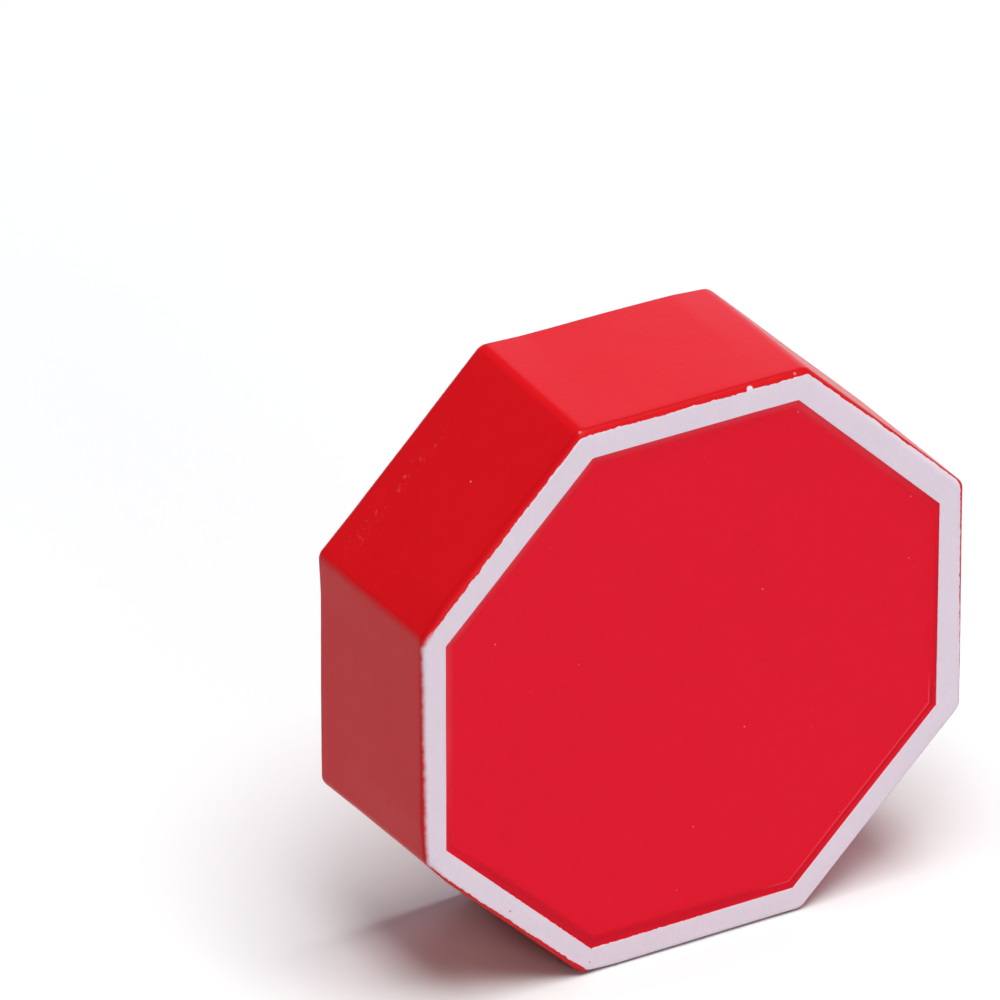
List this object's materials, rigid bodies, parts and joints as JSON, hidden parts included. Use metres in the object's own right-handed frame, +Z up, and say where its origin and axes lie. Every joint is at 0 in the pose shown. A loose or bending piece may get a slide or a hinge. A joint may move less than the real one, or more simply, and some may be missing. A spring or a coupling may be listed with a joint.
{
  "type": "foam stop sign stress toy",
  "caption": "Thick octagonal foam squeeze toy shaped like a blank stop sign, with a red dished panel inside a raised white rim on both faces and plain red sides.",
  "frame": {"origin": "middle of the flat bottom side that the toy stands on", "axes": "+Z up; the front face points along -Y and the back face along +Y; +X is to the right seen from the front"},
  "size_m": [0.076, 0.024, 0.076],
  "materials": {
    "bare_foam": "open-celled soft polyurethane foam, matt",
    "red_side_paint": "soft matt red paint on finely pebbled foam skin, with pinholes",
    "red_panel_paint": "soft matt red paint on smooth foam skin, with a few pale pinholes",
    "white_rim_paint": "soft matt off-white paint with chipped, uneven edges"
  },
  "bodies": {
    "root": {"foam_core": "bare_foam", "side_skin": "red_side_paint", "front_rim": "white_rim_paint", "front_panel": "red_panel_paint", "back_rim": "white_rim_paint", "back_panel": "red_panel_paint"}
  },
  "joints": []
}
